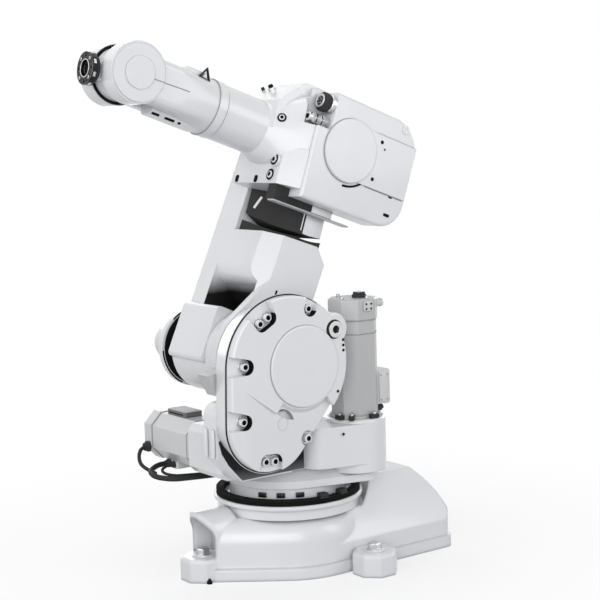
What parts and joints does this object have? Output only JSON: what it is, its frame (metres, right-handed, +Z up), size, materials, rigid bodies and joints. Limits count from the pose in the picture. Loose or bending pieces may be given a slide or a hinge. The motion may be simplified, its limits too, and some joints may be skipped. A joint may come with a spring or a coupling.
{
  "type": "industrial robot arm",
  "caption": "Compact floor-standing articulated robot arm with a bolted cast base, geared shoulder, motor housing at the elbow, turning forearm and a drilled tool flange.",
  "frame": {"origin": "where the upright first axis meets the floor, on the base's bottom face", "axes": "+Z up along the first axis, +X forward, +Y to the arm's left"},
  "size_m": [0.6056, 0.452, 0.8547],
  "materials": {
    "white_paint": "glossy light grey-white enamel on cast metal",
    "grey_paint": "satin grey enamel",
    "dark_grey_paint": "satin dark grey enamel",
    "black_plastic": "matt black moulding",
    "cable_rubber": "black cable sheath",
    "steel": "turned steel",
    "dark_metal": "blackened steel"
  },
  "bodies": {
    "base": {"base_casting": "white_paint", "base_collar": "white_paint", "cable_guide_ring": "black_plastic"},
    "frame": {"turntable": "white_paint", "frame_casting": "white_paint", "gear_cover": "white_paint", "gear_cover_disc": "white_paint", "oil_plug": "steel", "stop_bracket": "grey_paint", "motor_1_body": "dark_grey_paint", "motor_1_cap": "grey_paint", "motor_1_connector": "black_plastic", "motor_1_terminal_box": "grey_paint", "motor_1_gland": "black_plastic", "motor_2_adapter": "white_paint", "motor_2_body": "grey_paint", "motor_2_end_cap": "grey_paint", "motor_2_connector_box": "dark_grey_paint", "motor_2_cable_outlet": "grey_paint", "motor_2_power_cable": "cable_rubber", "motor_2_signal_cable": "cable_rubber"},
    "lower_arm": {"lower_arm_casting": "white_paint", "shoulder_gasket": "black_plastic", "shoulder_disc": "white_paint", "shoulder_cap": "white_paint", "inner_cover": "black_plastic"},
    "elbow": {"elbow_casting": "white_paint", "elbow_housing": "white_paint", "elbow_band": "white_paint", "elbow_round_cover": "white_paint", "elbow_cable_box": "black_plastic", "elbow_guard_plate": "dark_grey_paint", "air_fitting": "steel", "signal_connector": "black_plastic"},
    "forearm": {"wrist_fork": "white_paint", "hub_cover_left": "white_paint", "hub_cover_right": "white_paint", "hub_cap_left": "white_paint", "hub_cap_right": "white_paint"},
    "wrist_tilt": {"tilt_housing": "white_paint"},
    "flange": {"tool_flange": "dark_metal"}
  },
  "joints": [
    {"name": "axis_1_rotation", "type": "hinge", "parent": "base", "child": "frame", "pos_m": [0, 0, 0.118], "axis": [0, 0, 1], "range_deg": [-180, 180]},
    {"name": "axis_2_arm", "type": "hinge", "parent": "frame", "child": "lower_arm", "pos_m": [0.07, 0, 0.352], "axis": [0, 1, 0], "range_deg": [-66, 134]},
    {"name": "axis_3_arm", "type": "hinge", "parent": "lower_arm", "child": "elbow", "pos_m": [-0.07643, 0, 0.68088], "axis": [0, -1, 0], "range_deg": [-45.5, 234.5]},
    {"name": "axis_4_wrist", "type": "hinge", "parent": "elbow", "child": "forearm", "pos_m": [0.28178, 0, 0.80772], "axis": [0.9426, 0, 0.3338], "range_deg": [-200, 200]},
    {"name": "axis_5_bend", "type": "hinge", "parent": "forearm", "child": "wrist_tilt", "pos_m": [0.28178, 0, 0.80772], "axis": [0, 1, 0], "range_deg": [-126.5, 103.5]},
    {"name": "axis_6_turn", "type": "hinge", "parent": "wrist_tilt", "child": "flange", "pos_m": [0.34615, 0, 0.81677], "axis": [0.9903, 0, 0.1392], "range_deg": [-400, 400]}
  ]
}
